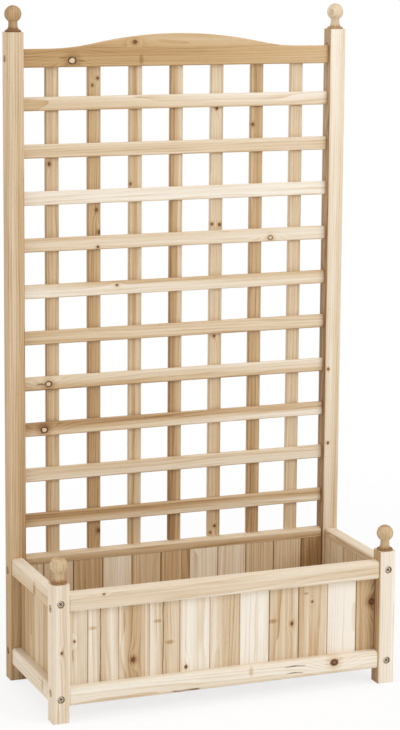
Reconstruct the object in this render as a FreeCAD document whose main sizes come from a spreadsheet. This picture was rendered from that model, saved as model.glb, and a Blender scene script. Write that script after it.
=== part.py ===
import FreeCAD, Part
import math
import os
import Sketcher
from FreeCAD import Placement, Rotation, Vector

# Free-standing timber planter box with a trellis at its back.
# X runs along the width, +Y points to the back, +Z up.
# The origin is the centre of the footprint, on the floor.
# Every piece is planed softwood unless its name says screw.

SIZES = {
    # whole object
    "overall_width": 800.0,
    "overall_depth": 345.0,
    "overall_height": 1500.0,
    "leg_height": 303.0,
    # square posts and legs
    "post_side": 38.0,
    "post_edge_radius": 4.0,
    # turned finials
    "finial_height": 57.0,
    "finial_ball_radius": 18.5,
    "finial_neck_radius": 10.0,
    "finial_waist_radius": 12.5,
    "finial_waist_rise": 8.5,
    "finial_rim_radius": 18.0,
    "finial_rim_height": 4.0,
    "spigot_diameter": 12.0,
    "spigot_length": 22.0,
    "spigot_clearance": 0.2,
    # box rails
    "rail_thickness": 28.0,
    "rail_height": 40.0,
    "rail_edge_radius": 6.0,
    "rail_setback": 4.0,
    "upper_rail_drop": 22.0,
    "lower_rail_level": 35.0,
    # cladding boards
    "board_thickness": 8.0,
    "board_recess": 0.5,
    "board_rebate_height": 20.0,
    "board_end_clearance": 0.6,
    "long_row_end_board": 47.0,
    "short_row_end_board": 29.5,
    "board_gap": 0.4,
    "board_bevel": 1.6,
    "board_tongue": 3.0,
    "board_tongue_thickness": 2.4,
    "board_tongue_clearance": 0.3,
    "back_board_shift": 5.0,
    # floor
    "batten_side": 20.0,
    "floor_board_thickness": 9.0,
    "floor_gap": 7.0,
    "floor_end_clearance": 1.0,
    # trellis
    "slat_width": 30.0,
    "slat_thickness": 12.0,
    "slat_bevel": 2.0,
    "cross_slat_margin": 64.0,
    "upright_margin": 71.0,
    "upright_lap": 30.0,
    "groove_width": 8.0,
    "groove_depth": 9.0,
    "groove_overrun": 6.0,
    "tongue_clearance": 0.2,
    "tongue_length": 8.0,
    "tongue_shoulder": 1.0,
    # arched top rail
    "top_rail_thickness": 15.0,
    "top_rail_end_height": 40.0,
    "top_rail_rise": 31.0,
    "top_rail_drop": 37.0,
    "top_rail_level_end": 62.0,
    "top_rail_turn_share": 0.65,
    "top_rail_bevel": 2.0,
    # screws
    "screw_head_radius": 6.2,
    "screw_head_height": 4.0,
    "screw_shank_radius": 3.2,
    "screw_length": 74.0,
    "screw_clearance": 0.2,
    "counterbore_radius": 8.5,
    "counterbore_depth": 7.0,
    "upper_side_screw_drop": 11.5,
    "lower_side_screw_rise": 9.5,
    "lower_front_screw_drop": 2.5,
}
# How many of each repeated piece there are.
CROSS_SLAT_COUNT = 10
UPRIGHT_COUNT = 7
LONG_SIDE_BOARD_COUNT = 11
SHORT_SIDE_BOARD_COUNT = 5
# The screws repeat, so they and their holes have flat sides, to save faces.
HEAD_SIDES = 16
SHANK_SIDES = 6
FLOOR_BOARD_COUNT = 8

doc = FreeCAD.newDocument("planter")


def fill_sheet(name, values):
    """Put every driving dimension in its own row, with its name as alias."""
    sheet = doc.addObject("Spreadsheet::Sheet", name)
    for row, (alias, value) in enumerate(values.items(), start=1):
        sheet.set(f"A{row}", alias.replace("_", " "))
        sheet.set(f"B{row}", str(value))
        sheet.setAlias(f"B{row}", alias)
    doc.recompute()
    return sheet


class Length:
    """A size that carries its value and the sheet formula behind it."""

    def __init__(self, value, text):
        self.value = value
        self.text = text

    @staticmethod
    def of(other):
        if isinstance(other, Length):
            return other
        return Length(float(other), repr(float(other)))

    def __add__(self, other):
        other = Length.of(other)
        return Length(self.value + other.value, f"({self.text} + {other.text})")

    def __radd__(self, other):
        return Length.of(other) + self

    def __sub__(self, other):
        other = Length.of(other)
        return Length(self.value - other.value, f"({self.text} - {other.text})")

    def __rsub__(self, other):
        return Length.of(other) - self

    def __mul__(self, other):
        other = Length.of(other)
        return Length(self.value * other.value, f"({self.text} * {other.text})")

    __rmul__ = __mul__

    def __truediv__(self, other):
        other = Length.of(other)
        return Length(self.value / other.value, f"({self.text} / {other.text})")

    def __neg__(self):
        return self * -1.0


sheet = fill_sheet("Sizes", SIZES)
S = {name: Length(float(sheet.get(name)), f"Sizes.{name}") for name in SIZES}
ZERO = Length.of(0.0)
NODES = []

# ---------------------------------------------------------------- derived
half_width = S["overall_width"] / 2
half_depth = S["overall_depth"] / 2
post = S["post_side"]
post_height = S["overall_height"] - S["finial_height"]
front_span = S["overall_width"] - 2 * post
side_span = S["overall_depth"] - 2 * post
rail_middle = S["rail_setback"] + S["rail_thickness"] / 2
rebate_depth = S["board_thickness"] + S["board_recess"]
upper_rail_top = S["leg_height"] - S["upper_rail_drop"]
upper_rail_level = upper_rail_top - S["rail_height"]
upper_rail_middle = upper_rail_top - S["rail_height"] / 2
lower_rail_middle = S["lower_rail_level"] + S["rail_height"] / 2
board_foot = S["lower_rail_level"] + S["rail_height"] - S["board_rebate_height"]
board_head = upper_rail_level + S["board_rebate_height"] - S["board_end_clearance"]
board_face = S["rail_setback"] + S["rail_thickness"] - rebate_depth
top_rail_foot = post_height - S["top_rail_drop"] - S["top_rail_end_height"]
first_cross_slat = upper_rail_top + S["cross_slat_margin"]
last_cross_slat = top_rail_foot - S["cross_slat_margin"] - S["slat_width"]
cross_slat_pitch = (last_cross_slat - first_cross_slat) / (CROSS_SLAT_COUNT - 1)
upright_pitch = (front_span - 2 * S["upright_margin"]) / (UPRIGHT_COUNT - 1)
# The groove runs down the middle of the rear posts' inner faces, and the
# cross slats stand centred in it.
trellis_back = half_depth - post / 2 + S["slat_thickness"] / 2
trellis_front = trellis_back - S["slat_thickness"]
tongue_thickness = S["groove_width"] - S["tongue_clearance"]
# Screw heights: those into the side rails, then those into the long rails.
side_rail_screws = (upper_rail_middle, lower_rail_middle - S["lower_front_screw_drop"])
long_rail_screws = (upper_rail_middle - S["upper_side_screw_drop"],
                    lower_rail_middle + S["lower_side_screw_rise"])
top_rail_screw = top_rail_foot + S["top_rail_end_height"] / 2
# From a post's outer face to the point of a screw in its counterbore.
screw_reach = S["counterbore_depth"] + S["screw_length"]
shank_hole = S["screw_shank_radius"] + S["screw_clearance"]


X_AXIS = Vector(1, 0, 0)
Y_AXIS = Vector(0, 1, 0)
Z_AXIS = Vector(0, 0, 1)


# ---------------------------------------------------------------- helpers
def bind(item, prop, length):
    """Give a property its value and tie it to the sheet."""
    length = Length.of(length)
    if not prop.startswith("Placement"):
        setattr(item, prop, length.value)
    item.setExpression(prop, length.text)


def place(item, x, y, z, turn=0.0, pointing=Z_AXIS):
    """Set an item's placement, turned about its own Z axis by a number of
    degrees, and then with that axis pointing along a given direction."""
    x, y, z = Length.of(x), Length.of(y), Length.of(z)
    rotation = Rotation(Z_AXIS, pointing) * Rotation(Z_AXIS, turn)
    item.Placement = Placement(Vector(x.value, y.value, z.value), rotation)
    for axis, length in zip("xyz", (x, y, z)):
        bind(item, f"Placement.Base.{axis}", length)


def new_body(label):
    body = doc.addObject("PartDesign::Body", label)
    body.Label = label
    return body


def new_node(label):
    """A body that is one whole sub-part."""
    body = new_body(label)
    NODES.append(body)
    return body


def group_node(label, members):
    """Several separate solids of one kind, kept together in one sub-part."""
    group = doc.addObject("Part::Compound", label)
    group.Label = label
    group.Links = members
    NODES.append(group)
    return group


def new_sketch(body, name, role, offset=ZERO):
    """A sketch on one of the body's own planes, raised along its normal."""
    plane = [item for item in body.Origin.OriginFeatures if item.Role == role][0]
    sketch = body.newObject("Sketcher::SketchObject", name)
    sketch.AttachmentSupport = [(plane, "")]
    sketch.MapMode = "FlatFace"
    if offset is not ZERO:
        sketch.setExpression(".AttachmentOffset.Base.z", Length.of(offset).text)
    return sketch


def fix(sketch, element, end, x, y):
    """Hold one point of the sketch at a place measured from its origin."""
    for kind, length in (("DistanceX", x), ("DistanceY", y)):
        length = Length.of(length)
        number = sketch.addConstraint(Sketcher.Constraint(kind, -1, 1, element, end, length.value))
        sketch.setExpression(f"Constraints[{number}]", length.text)


def draw_outline(sketch, points):
    """Straight lines through the given corners, closed, each corner fixed."""
    first = sketch.GeometryCount
    count = len(points)
    points = [(Length.of(x), Length.of(y)) for x, y in points]
    for number, start in enumerate(points):
        end = points[(number + 1) % count]
        sketch.addGeometry(Part.LineSegment(Vector(start[0].value, start[1].value, 0),
                                            Vector(end[0].value, end[1].value, 0)))
    for number, start in enumerate(points):
        line, following = first + number, first + (number + 1) % count
        sketch.addConstraint(Sketcher.Constraint("Coincident", line, 2, following, 1))
        fix(sketch, line, 1, *start)


def polygon(body, name, role, points, offset=ZERO):
    """A closed outline of straight lines through the given corners."""
    sketch = new_sketch(body, name, role, offset)
    draw_outline(sketch, points)
    return sketch


def regular_outlines(body, name, role, centres, radius, sides, offset=ZERO):
    """Many-sided outlines with their corners on circles of the given radius."""
    sketch = new_sketch(body, name, role, offset)
    angles = [2 * math.pi * number / sides for number in range(sides)]
    corners = [(math.cos(angle), math.sin(angle)) for angle in angles]
    for x, y in centres:
        draw_outline(sketch, [(x + radius * across, y + radius * up) for across, up in corners])
    return sketch


def rectangle(body, name, role, low, high, offset=ZERO):
    """A rectangle between two opposite corners."""
    return polygon(body, name, role, ((low[0], low[1]), (high[0], low[1]),
                                      (high[0], high[1]), (low[0], high[1])), offset)


def circles(body, name, role, centres, radius, offset=ZERO):
    """Circles of one radius at the given centres."""
    sketch = new_sketch(body, name, role, offset)
    for number, (x, y) in enumerate(centres):
        x, y = Length.of(x), Length.of(y)
        centre = Vector(x.value, y.value, 0)
        sketch.addGeometry(Part.Circle(centre, Vector(0, 0, 1), radius.value))
        fix(sketch, number, 3, x, y)
        size = sketch.addConstraint(Sketcher.Constraint("Radius", number, radius.value))
        sketch.setExpression(f"Constraints[{size}]", radius.text)
    return sketch


def pad(body, sketch, length, reverse=False):
    feature = body.newObject("PartDesign::Pad", f"{sketch.Name}_pad")
    feature.Profile = sketch
    feature.Reversed = reverse
    bind(feature, "Length", length)
    doc.recompute()
    return feature


def pocket(body, sketch, depth, reverse=False):
    """Cut the sketch into the body, and make sure that it took wood away."""
    before = body.Shape.Volume
    feature = body.newObject("PartDesign::Pocket", f"{sketch.Name}_pocket")
    feature.Profile = sketch
    feature.Reversed = reverse
    bind(feature, "Length", depth)
    doc.recompute()
    if body.Shape.Volume > before - 1e-3:
        raise ValueError(f"{feature.Name} in {body.Label} removes nothing")
    return feature


def revolve(body, sketch):
    feature = body.newObject("PartDesign::Revolution", f"{sketch.Name}_turned")
    feature.Profile = sketch
    feature.ReferenceAxis = (sketch, ["V_Axis"])
    feature.Angle = 360.0
    doc.recompute()
    return feature


def edges_along(shape, axis, places=None):
    """Names of the straight edges parallel to an axis, all or at given places."""
    names = []
    for number, edge in enumerate(shape.Edges, start=1):
        if edge.Curve.TypeId != "Part::GeomLine":
            continue
        direction = edge.tangentAt(edge.FirstParameter)
        if abs(abs(direction.dot(axis)) - 1) > 1e-6:
            continue
        middle = edge.CenterOfMass
        flat = middle - axis * middle.dot(axis)
        if places is None or any((flat - spot).Length < 1e-3 for spot in places):
            names.append(f"Edge{number}")
    return names


def bevel_edges(body, base, names, size):
    feature = body.newObject("PartDesign::Chamfer", f"{base.Name}_bevelled")
    feature.Base = (base, names)
    bind(feature, "Size", size)
    doc.recompute()
    return feature


def round_edges(body, base, names, radius):
    feature = body.newObject("PartDesign::Fillet", f"{base.Name}_rounded")
    feature.Base = (base, names)
    bind(feature, "Radius", radius)
    doc.recompute()
    return feature


# ---------------------------------------------------------------- posts and legs
def make_post(label, right, back, height, long_rail_heights):
    """A square post. Its own origin is its outer bottom corner, and it
    extends inwards from there. Screws enter through both outer faces."""
    body = new_node(label)
    inward_x = -1 if right else 1
    inward_y = -1 if back else 1
    section = rectangle(body, "section", "XY_Plane", (ZERO, ZERO), (inward_x * post, inward_y * post))
    blank = pad(body, section, height)
    round_edges(body, blank, edges_along(blank.Shape, Z_AXIS), S["post_edge_radius"])

    # through the outer side face, into the long rails
    side_spots = [(inward_y * rail_middle, level) for level in long_rail_heights[:2]]
    side_spots += [(inward_y * post / 2, level) for level in long_rail_heights[2:]]
    # through the outer front or back face, into the side rails
    face_spots = [(inward_x * rail_middle, level) for level in side_rail_screws]
    for name, role, spots, reverse in (("side", "YZ_Plane", side_spots, not right),
                                       ("face", "XZ_Plane", face_spots, back)):
        bores = regular_outlines(body, f"{name}_bore", role, spots, shank_hole, SHANK_SIDES)
        pocket(body, bores, post, reverse=reverse)
        sinks = regular_outlines(body, f"{name}_counterbore", role, spots, S["counterbore_radius"],
                                 HEAD_SIDES)
        pocket(body, sinks, S["counterbore_depth"], reverse=reverse)
    # socket for the finial's spigot
    socket = circles(body, "spigot_socket", "XY_Plane", [(inward_x * post / 2, inward_y * post / 2)],
                     S["spigot_diameter"] / 2 + S["spigot_clearance"] / 2, height)
    pocket(body, socket, S["spigot_length"] + S["spigot_clearance"])
    place(body, -inward_x * half_width, -inward_y * half_depth, ZERO)
    return body


def cut_trellis_groove(body):
    """The groove that holds the ends of the cross slats and the top rail."""
    inward_x = 1 if body.Placement.Base.x < 0 else -1
    start = upper_rail_top
    length = top_rail_foot + S["top_rail_end_height"] + S["groove_overrun"] - start
    middle = -post / 2
    groove = rectangle(body, "trellis_groove", "XY_Plane",
                       (inward_x * (post - S["groove_depth"]), middle - S["groove_width"] / 2),
                       (inward_x * post, middle + S["groove_width"] / 2), start)
    pocket(body, groove, length, reverse=True)


def make_posts():
    for label, right in (("front_leg_left", False), ("front_leg_right", True)):
        make_post(label, right, False, S["leg_height"], long_rail_screws)
    for label, right in (("rear_post_left", False), ("rear_post_right", True)):
        body = make_post(label, right, True, post_height, long_rail_screws + (top_rail_screw,))
        cut_trellis_groove(body)


# ---------------------------------------------------------------- finials
def make_finial(number, x, y, z):
    """Finial turned in one piece: spigot, rim, hollow flare and ball."""
    body = new_body(f"finial_{number}")
    sketch = new_sketch(body, "profile", "XZ_Plane")
    spigot, rim, neck = S["spigot_diameter"] / 2, S["finial_rim_radius"], S["finial_neck_radius"]
    waist, ball = S["finial_waist_radius"], S["finial_ball_radius"]
    centre = S["finial_height"] - ball
    # the straight part of the profile, from the spigot's tip up to the waist
    outline = [(ZERO, -S["spigot_length"]), (spigot, -S["spigot_length"]), (spigot, ZERO), (rim, ZERO),
               (rim, S["finial_rim_height"]), (waist, S["finial_waist_rise"])]
    points = [Vector(Length.of(out).value, Length.of(up).value, 0) for out, up in outline]
    crown = Vector(0, S["finial_height"].value, 0)
    for start, end in zip(points, points[1:]):
        sketch.addGeometry(Part.LineSegment(start, end))
    # the ball starts where its circle meets the neck's radius
    drop = math.sqrt(ball.value ** 2 - neck.value ** 2)
    join = Vector(neck.value, centre.value - drop, 0)
    sketch.addGeometry(Part.LineSegment(points[-1], join))
    sphere = Part.Circle(Vector(0, centre.value, 0), Vector(0, 0, 1), ball.value)
    sketch.addGeometry(Part.ArcOfCircle(sphere, sphere.parameter(join) - 2 * math.pi,
                                        sphere.parameter(crown)))
    sketch.addGeometry(Part.LineSegment(crown, points[0]))
    neck_line, ball_arc, axis_line = len(points) - 1, len(points), len(points) + 1
    for line in range(neck_line):
        sketch.addConstraint(Sketcher.Constraint("Coincident", line, 2, line + 1, 1))
        fix(sketch, line, 1, *outline[line])
    fix(sketch, neck_line, 1, *outline[-1])
    reach = sketch.addConstraint(Sketcher.Constraint("DistanceX", -1, 1, neck_line, 2, neck.value))
    sketch.setExpression(f"Constraints[{reach}]", neck.text)
    sketch.addConstraint(Sketcher.Constraint("Coincident", neck_line, 2, ball_arc, 1))
    sketch.addConstraint(Sketcher.Constraint("Coincident", ball_arc, 2, axis_line, 1))
    sketch.addConstraint(Sketcher.Constraint("Coincident", axis_line, 2, 0, 1))
    fix(sketch, ball_arc, 3, ZERO, centre)
    fix(sketch, axis_line, 1, ZERO, S["finial_height"])
    revolve(body, sketch)
    place(body, x, y, z)
    return body


def make_finials():
    """The four finials are alike, and share one sub-part as separate solids."""
    middle_x = half_width - post / 2
    middle_y = half_depth - post / 2
    spots = ((-middle_x, -middle_y, S["leg_height"]), (middle_x, -middle_y, S["leg_height"]),
             (-middle_x, middle_y, post_height), (middle_x, middle_y, post_height))
    group_node("finials", [make_finial(number, *spot) for number, spot in enumerate(spots, start=1)])


# ---------------------------------------------------------------- box rails
def make_rail(label, length, upper, screw_height, x, y, z, turn):
    """A rail with rounded edges, rebated along its inner side for the boards.
    Its outer face is at y = 0, and its underside at z = 0."""
    body = new_node(label)
    deep, high = S["rail_thickness"], S["rail_height"]
    step, lip = deep - rebate_depth, S["board_rebate_height"]
    if upper:
        corners = [(ZERO, ZERO), (step, ZERO), (step, lip), (deep, lip), (deep, high), (ZERO, high)]
        rounded = [(ZERO, ZERO), (ZERO, high), (deep, high)]
    else:
        ledge = high - lip
        corners = [(ZERO, ZERO), (deep, ZERO), (deep, ledge), (step, ledge), (step, high), (ZERO, high)]
        rounded = [(ZERO, ZERO), (deep, ZERO), (ZERO, high)]
    section = polygon(body, "section", "YZ_Plane", corners)
    blank = pad(body, section, length)
    spots = [Vector(0, inward.value, up.value) for inward, up in rounded]
    round_edges(body, blank, edges_along(blank.Shape, X_AXIS, spots), S["rail_edge_radius"])
    # pilot holes for the screws, one in each end
    pilot_depth = screw_reach - post
    pilot = [(S["rail_thickness"] / 2, screw_height - z)]
    near = regular_outlines(body, "near_pilot", "YZ_Plane", pilot, shank_hole, SHANK_SIDES)
    pocket(body, near, pilot_depth, reverse=True)
    far = regular_outlines(body, "far_pilot", "YZ_Plane", pilot, shank_hole, SHANK_SIDES, length)
    pocket(body, far, pilot_depth)
    place(body, x, y, z, turn)
    return body


def make_rails():
    inner_x = half_width - post
    inner_y = half_depth - post
    outer_x = half_width - S["rail_setback"]
    outer_y = half_depth - S["rail_setback"]
    levels = (("upper", upper_rail_level, side_rail_screws[0], long_rail_screws[0]),
              ("lower", S["lower_rail_level"], side_rail_screws[1], long_rail_screws[1]))
    for level, z, side_screw, long_screw in levels:
        upper = level == "upper"
        make_rail(f"front_{level}_rail", front_span, upper, long_screw, -inner_x, -outer_y, z, 0)
        make_rail(f"back_{level}_rail", front_span, upper, long_screw, inner_x, outer_y, z, 180)
        make_rail(f"left_{level}_rail", side_span, upper, side_screw, -outer_x, inner_y, z, -90)
        make_rail(f"right_{level}_rail", side_span, upper, side_screw, outer_x, -inner_y, z, 90)


# ---------------------------------------------------------------- boards
def make_board(body, width, grooved, tongued):
    """A board with bevelled edges. Its outer face is at y = 0. The left edge
    has a groove and the right edge a tongue, unless it ends the row."""
    thick, bevel = S["board_thickness"], S["board_bevel"]
    reach = S["board_tongue"]
    half_tongue = S["board_tongue_thickness"] / 2
    half_groove = half_tongue + S["board_tongue_clearance"]
    depth = reach + S["board_tongue_clearance"]
    middle = thick / 2
    points = [(bevel, ZERO), (width - bevel, ZERO), (width, bevel)]
    if tongued:
        points += [(width, middle - half_tongue), (width + reach, middle - half_tongue),
                   (width + reach, middle + half_tongue), (width, middle + half_tongue)]
    points += [(width, thick - bevel), (width - bevel, thick), (bevel, thick), (ZERO, thick - bevel)]
    if grooved:
        points += [(ZERO, middle + half_groove), (depth, middle + half_groove),
                   (depth, middle - half_groove), (ZERO, middle - half_groove)]
    points += [(ZERO, bevel)]
    section = polygon(body, "section", "XY_Plane", points)
    pad(body, section, board_head - board_foot)


def row_of_boards(count, span, end_board, shift, make_body, x, y, step_x, step_y, turn):
    """A row of boards between two posts, with whole boards in the middle and
    narrower ones at the two ends. The row's seams move along by shift."""
    pitch = (span - 2 * end_board) / (count - 2)
    start = ZERO
    bodies = []
    for number in range(count):
        if number == 0:
            width = end_board + shift
        elif number == count - 1:
            width = span - start
        else:
            width = pitch
        body = make_body(number + 1)
        gap = ZERO if number == count - 1 else S["board_gap"]
        make_board(body, width - gap, number > 0, number < count - 1)
        place(body, x + step_x * start, y + step_y * start, board_foot, turn)
        start = start + width
        bodies.append(body)
    return bodies


def make_boards():
    inner_x = half_width - post
    inner_y = half_depth - post
    face_x = half_width - board_face
    face_y = half_depth - board_face
    row_of_boards(LONG_SIDE_BOARD_COUNT, front_span, S["long_row_end_board"], ZERO,
                  lambda n: new_node(f"front_board_{n:02d}"), -inner_x, -face_y, 1, 0, 0)
    back = row_of_boards(LONG_SIDE_BOARD_COUNT, front_span, S["long_row_end_board"], S["back_board_shift"],
                         lambda n: new_body(f"back_board_{n:02d}"), inner_x, face_y, -1, 0, 180)
    group_node("back_boards", back)
    left = row_of_boards(SHORT_SIDE_BOARD_COUNT, side_span, S["short_row_end_board"], ZERO,
                         lambda n: new_body(f"left_board_{n:02d}"), -face_x, inner_y, 0, -1, -90)
    group_node("left_side_boards", left)
    right = row_of_boards(SHORT_SIDE_BOARD_COUNT, side_span, S["short_row_end_board"], ZERO,
                          lambda n: new_body(f"right_board_{n:02d}"), face_x, -inner_y, 0, 1, 90)
    group_node("right_side_boards", right)


# ---------------------------------------------------------------- floor
def make_floor():
    """Loose-laid boards across two battens, with gaps for drainage."""
    side = S["batten_side"]
    level = board_foot - side
    inner_rail = half_depth - S["rail_setback"] - S["rail_thickness"]
    for label, y, turn_sign in (("front_floor_batten", -inner_rail, 1),
                                ("back_floor_batten", inner_rail, -1)):
        body = new_node(label)
        section = rectangle(body, "section", "YZ_Plane", (ZERO, ZERO), (turn_sign * side, side))
        pad(body, section, front_span)
        place(body, -front_span / 2, y, level)
    boards = []
    gaps = (FLOOR_BOARD_COUNT - 1) * S["floor_gap"] + 2 * S["floor_end_clearance"]
    width = (front_span - gaps) / FLOOR_BOARD_COUNT
    inner_board = half_depth - board_face - S["board_thickness"] - S["floor_end_clearance"]
    for number in range(FLOOR_BOARD_COUNT):
        body = new_body(f"floor_board_{number + 1}")
        section = rectangle(body, "section", "XY_Plane", (ZERO, -inner_board), (width, inner_board))
        pad(body, section, S["floor_board_thickness"])
        start = number * (width + S["floor_gap"])
        place(body, start - front_span / 2 + S["floor_end_clearance"], ZERO, board_foot)
        boards.append(body)
    group_node("floor_boards", boards)


# ---------------------------------------------------------------- trellis
def make_cross_slat(number, z):
    """Horizontal slat, with a tongue at each end for the posts' grooves."""
    body = new_node(f"cross_slat_{number:02d}")
    deep, high = S["slat_thickness"], S["slat_width"]
    section = rectangle(body, "section", "YZ_Plane", (ZERO, ZERO), (deep, high))
    blank = pad(body, section, front_span)
    bevel_edges(body, blank, edges_along(blank.Shape, X_AXIS), S["slat_bevel"])
    low = (deep / 2 - tongue_thickness / 2, S["tongue_shoulder"])
    top = (deep / 2 + tongue_thickness / 2, high - S["tongue_shoulder"])
    left = rectangle(body, "left_tongue", "YZ_Plane", low, top)
    pad(body, left, S["tongue_length"], reverse=True)
    right = rectangle(body, "right_tongue", "YZ_Plane", low, top, front_span)
    pad(body, right, S["tongue_length"])
    place(body, -front_span / 2, trellis_front, z)


def make_upright(number, x):
    """Vertical slat behind the cross slats, lapped behind the top rail."""
    body = new_node(f"upright_slat_{number}")
    wide, deep = S["slat_width"], S["slat_thickness"]
    section = rectangle(body, "section", "XY_Plane", (-wide / 2, ZERO), (wide / 2, deep))
    blank = pad(body, section, top_rail_foot + S["upright_lap"] - upper_rail_top)
    bevel_edges(body, blank, edges_along(blank.Shape, Z_AXIS), S["slat_bevel"])
    place(body, x, trellis_back, upper_rail_top)


def make_top_rail():
    """Rail with an arched top edge: a crown arc that turns through two
    hollow arcs into the level ends."""
    body = new_node("top_rail")
    sketch = new_sketch(body, "outline", "XZ_Plane")
    half, high = front_span / 2, S["top_rail_end_height"]
    span, rise = half - S["top_rail_level_end"], S["top_rail_rise"]
    turn = span * S["top_rail_turn_share"]
    turn_height = high + rise * (1 - turn / span)
    run, climb = span.value - turn.value, turn_height.value - high.value
    hollow = (run ** 2 + climb ** 2) / (2 * climb)
    crown = hollow * turn.value / run
    top = high.value + rise.value
    corner = {"left_foot": Vector(-half.value, 0, 0), "right_foot": Vector(half.value, 0, 0),
              "right_end": Vector(half.value, high.value, 0), "right_start": Vector(span.value, high.value, 0),
              "right_turn": Vector(turn.value, turn_height.value, 0),
              "left_turn": Vector(-turn.value, turn_height.value, 0),
              "left_start": Vector(-span.value, high.value, 0), "left_end": Vector(-half.value, high.value, 0)}
    right_circle = Part.Circle(Vector(span.value, high.value + hollow, 0), Vector(0, 0, 1), hollow)
    left_circle = Part.Circle(Vector(-span.value, high.value + hollow, 0), Vector(0, 0, 1), hollow)
    crown_circle = Part.Circle(Vector(0, top - crown, 0), Vector(0, 0, 1), crown)
    sketch.addGeometry(Part.LineSegment(corner["left_foot"], corner["right_foot"]))
    sketch.addGeometry(Part.LineSegment(corner["right_foot"], corner["right_end"]))
    sketch.addGeometry(Part.LineSegment(corner["right_end"], corner["right_start"]))
    sketch.addGeometry(Part.ArcOfCircle(right_circle, right_circle.parameter(corner["right_turn"]),
                                        right_circle.parameter(corner["right_start"])))
    sketch.addGeometry(Part.ArcOfCircle(crown_circle, crown_circle.parameter(corner["right_turn"]),
                                        crown_circle.parameter(corner["left_turn"])))
    sketch.addGeometry(Part.ArcOfCircle(left_circle, left_circle.parameter(corner["left_start"]),
                                        left_circle.parameter(corner["left_turn"])))
    sketch.addGeometry(Part.LineSegment(corner["left_start"], corner["left_end"]))
    sketch.addGeometry(Part.LineSegment(corner["left_end"], corner["left_foot"]))
    joins = ((0, 2, 1, 1), (1, 2, 2, 1), (2, 2, 3, 2), (4, 2, 5, 2), (5, 1, 6, 1),
             (6, 2, 7, 1), (7, 2, 0, 1))
    for join in joins:
        sketch.addConstraint(Sketcher.Constraint("Coincident", *join))
    fix(sketch, 0, 1, -half, ZERO)
    fix(sketch, 1, 1, half, ZERO)
    fix(sketch, 2, 1, half, high)
    fix(sketch, 2, 2, span, high)
    fix(sketch, 4, 1, turn, turn_height)
    fix(sketch, 4, 2, -turn, turn_height)
    fix(sketch, 6, 1, -span, high)
    fix(sketch, 7, 1, -half, high)
    sketch.addConstraint(Sketcher.Constraint("Vertical", 3, 3, 2, 2))
    sketch.addConstraint(Sketcher.Constraint("Vertical", 5, 3, 6, 1))
    sketch.addConstraint(Sketcher.Constraint("Tangent", 3, 1, 4, 1))
    blank = pad(body, sketch, S["top_rail_thickness"])
    # the long edges of both faces are bevelled
    front_and_back = [f"Edge{number}" for number, edge in enumerate(blank.Shape.Edges, start=1)
                      if abs(edge.tangentAt(edge.FirstParameter).y) < 1e-6
                      and abs(edge.tangentAt(edge.FirstParameter).x) > 0.5]
    bevel_edges(body, blank, front_and_back, S["top_rail_bevel"])
    # tongues at the ends, in line with the posts' grooves. The rail's own
    # back face is at y = 0.
    groove_middle = half_depth - post / 2 - trellis_back
    low = (groove_middle - tongue_thickness / 2, S["tongue_shoulder"])
    top_corner = (groove_middle + tongue_thickness / 2, high - S["tongue_shoulder"])
    right = rectangle(body, "right_tongue", "YZ_Plane", low, top_corner, half)
    pad(body, right, S["tongue_length"])
    left = rectangle(body, "left_tongue", "YZ_Plane", low, top_corner, -half)
    pad(body, left, S["tongue_length"], reverse=True)
    # pilot holes for the screws that come through the posts
    pilot = [(groove_middle, high / 2)]
    depth = screw_reach - post + S["tongue_length"]
    for name, side, reverse in (("right_pilot", 1, False), ("left_pilot", -1, True)):
        hole = regular_outlines(body, name, "YZ_Plane", pilot, shank_hole, SHANK_SIDES,
                                side * (half + S["tongue_length"]))
        pocket(body, hole, depth, reverse=reverse)
    place(body, ZERO, trellis_back, top_rail_foot)
    return body


def make_trellis():
    make_top_rail()
    for number in range(CROSS_SLAT_COUNT):
        make_cross_slat(number + 1, last_cross_slat - number * cross_slat_pitch)
    for number in range(UPRIGHT_COUNT):
        make_upright(number + 1, (number - (UPRIGHT_COUNT - 1) / 2) * upright_pitch)


# ---------------------------------------------------------------- screws
def make_screw(label):
    """Wood screw without its thread. The underside of its head is at z = 0,
    and its six-sided shank runs along +Z in a hole of the same section."""
    body = new_body(label)
    disc = regular_outlines(body, "head", "XY_Plane", [(ZERO, ZERO)], S["screw_head_radius"], HEAD_SIDES)
    pad(body, disc, S["screw_head_height"], reverse=True)
    shank = regular_outlines(body, "shank", "XY_Plane", [(ZERO, ZERO)], S["screw_shank_radius"],
                             SHANK_SIDES)
    pad(body, shank, S["screw_length"])
    return body


def screw_set(label, spots, pointing, turn):
    """One sub-part of like screws, at the given places. They are turned about
    their own axis so that their shanks' sides meet those of the holes."""
    screws = []
    for number, (x, y, z) in enumerate(spots, start=1):
        screw = make_screw(f"{label}_{number}")
        place(screw, x, y, z, turn, pointing)
        screws.append(screw)
    group_node(label, screws)


def make_screws():
    """Every screw sits with its head on the floor of its counterbore."""
    seat = S["counterbore_depth"]
    for label, outward in (("front_frame_screws", -1), ("rear_frame_screws", 1)):
        spots = [(side * (half_width - rail_middle), outward * (half_depth - seat), level)
                 for side in (-1, 1) for level in side_rail_screws]
        screw_set(label, spots, Y_AXIS * -outward, 0)
    for label, outward in (("left_frame_screws", -1), ("right_frame_screws", 1)):
        spots = [(outward * (half_width - seat), side * (half_depth - rail_middle), level)
                 for side in (-1, 1) for level in long_rail_screws]
        spots.append((outward * (half_width - seat), half_depth - post / 2, top_rail_screw))
        screw_set(label, spots, X_AXIS * -outward, 90)


# ---------------------------------------------------------------- run
make_posts()
make_finials()
make_rails()
make_boards()
make_floor()
make_trellis()
make_screws()
doc.recompute()

for item in doc.Objects:
    if "Invalid" in item.State or "Error" in item.State:
        raise RuntimeError(f"{item.Label} is {item.State}")

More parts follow.
